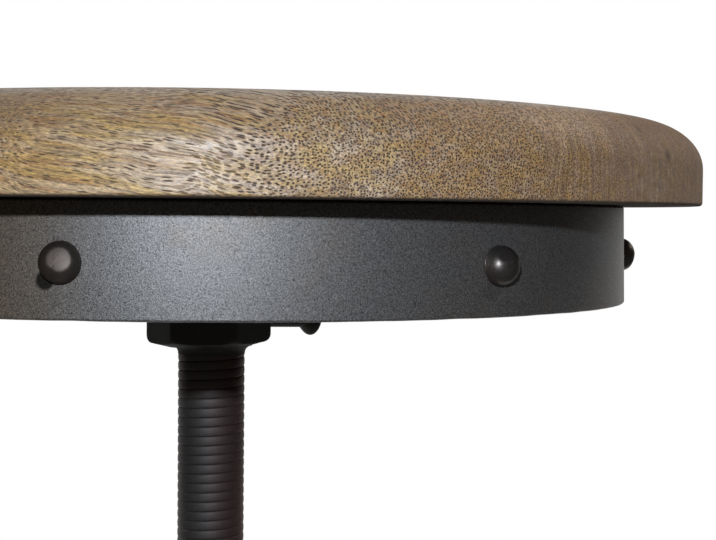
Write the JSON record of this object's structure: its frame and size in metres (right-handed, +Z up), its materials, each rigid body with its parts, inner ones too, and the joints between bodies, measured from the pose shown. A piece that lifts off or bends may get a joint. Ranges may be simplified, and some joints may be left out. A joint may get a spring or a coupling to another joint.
{
  "type": "industrial bar stool",
  "caption": "Screw-height bar stool: round wooden seat on a riveted steel band, threaded spindle in a square hub, bent strap legs and a flat foot ring.",
  "frame": {"origin": "on the floor, on the spindle's axis, midway between the feet", "axes": "+Z up along the spindle, -Y the side that the picture looks at, +X to its right; the legs stand at 45 degrees to X and Y"},
  "size_m": [0.36, 0.36, 0.705],
  "materials": {
    "oiled_wood": "oiled, open grain, worn satin",
    "band_coat": "dark gunmetal coat, fine speckle, satin",
    "rivet_bronze": "dark bronze, satin",
    "black_steel": "blackened, satin",
    "thread_steel": "blackened thread with reddish brown wear",
    "leg_steel": "dark gunmetal coat, satin",
    "zinc_screw": "zinc plated",
    "glide_rubber": "matt"
  },
  "bodies": {
    "base": {"hub": "leg_steel", "hub_nut": "black_steel", "leg_1": "leg_steel", "leg_2": "leg_steel", "leg_3": "leg_steel", "leg_4": "leg_steel", "leg_bolt_1": "rivet_bronze", "leg_bolt_2": "rivet_bronze", "leg_bolt_3": "rivet_bronze", "leg_bolt_4": "rivet_bronze", "leg_bolt_5": "rivet_bronze", "leg_bolt_6": "rivet_bronze", "leg_bolt_7": "rivet_bronze", "leg_bolt_8": "rivet_bronze", "foot_ring": "leg_steel", "ring_rivet_1": "rivet_bronze", "ring_rivet_2": "rivet_bronze", "ring_rivet_3": "rivet_bronze", "ring_rivet_4": "rivet_bronze", "glide_1": "glide_rubber", "glide_2": "glide_rubber", "glide_3": "glide_rubber", "glide_4": "glide_rubber", "glide_nut_1": "rivet_bronze", "glide_nut_2": "rivet_bronze", "glide_nut_3": "rivet_bronze", "glide_nut_4": "rivet_bronze"},
    "lift_stop": {"stop_washer": "black_steel"},
    "seat": {"seat_top": "oiled_wood", "seat_band": "band_coat", "seat_pan": "black_steel", "band_rivet_1": "rivet_bronze", "band_rivet_2": "rivet_bronze", "band_rivet_3": "rivet_bronze", "band_rivet_4": "rivet_bronze", "band_rivet_5": "rivet_bronze", "band_rivet_6": "rivet_bronze", "band_rivet_7": "rivet_bronze", "seat_flange": "black_steel", "flange_screw_1": "zinc_screw", "flange_screw_2": "zinc_screw", "flange_screw_3": "zinc_screw", "flange_screw_4": "zinc_screw", "pan_screw_1": "zinc_screw", "pan_screw_2": "zinc_screw", "pan_screw_3": "zinc_screw", "pan_screw_4": "zinc_screw", "pan_screw_5": "zinc_screw", "pan_screw_6": "zinc_screw", "seat_collar": "black_steel", "collar_weld": "black_steel", "collar_set_bolt": "black_steel", "spindle": "thread_steel", "spindle_end_bolt": "black_steel"}
  },
  "joints": [
    {"name": "seat_lift", "type": "slide", "parent": "base", "child": "lift_stop", "axis": [0, 0, 1], "range_m": [-0.0805, 0.056]},
    {"name": "seat_turn", "type": "hinge", "parent": "lift_stop", "child": "seat", "pos_m": [0, 0, 0.6225], "axis": [0, 0, 1], "range_deg": [-8280, 5760]}
  ],
  "couplings": [
    {"joint": "seat_lift", "follows": "seat_turn", "m_per_rad": 0.00055704}
  ]
}
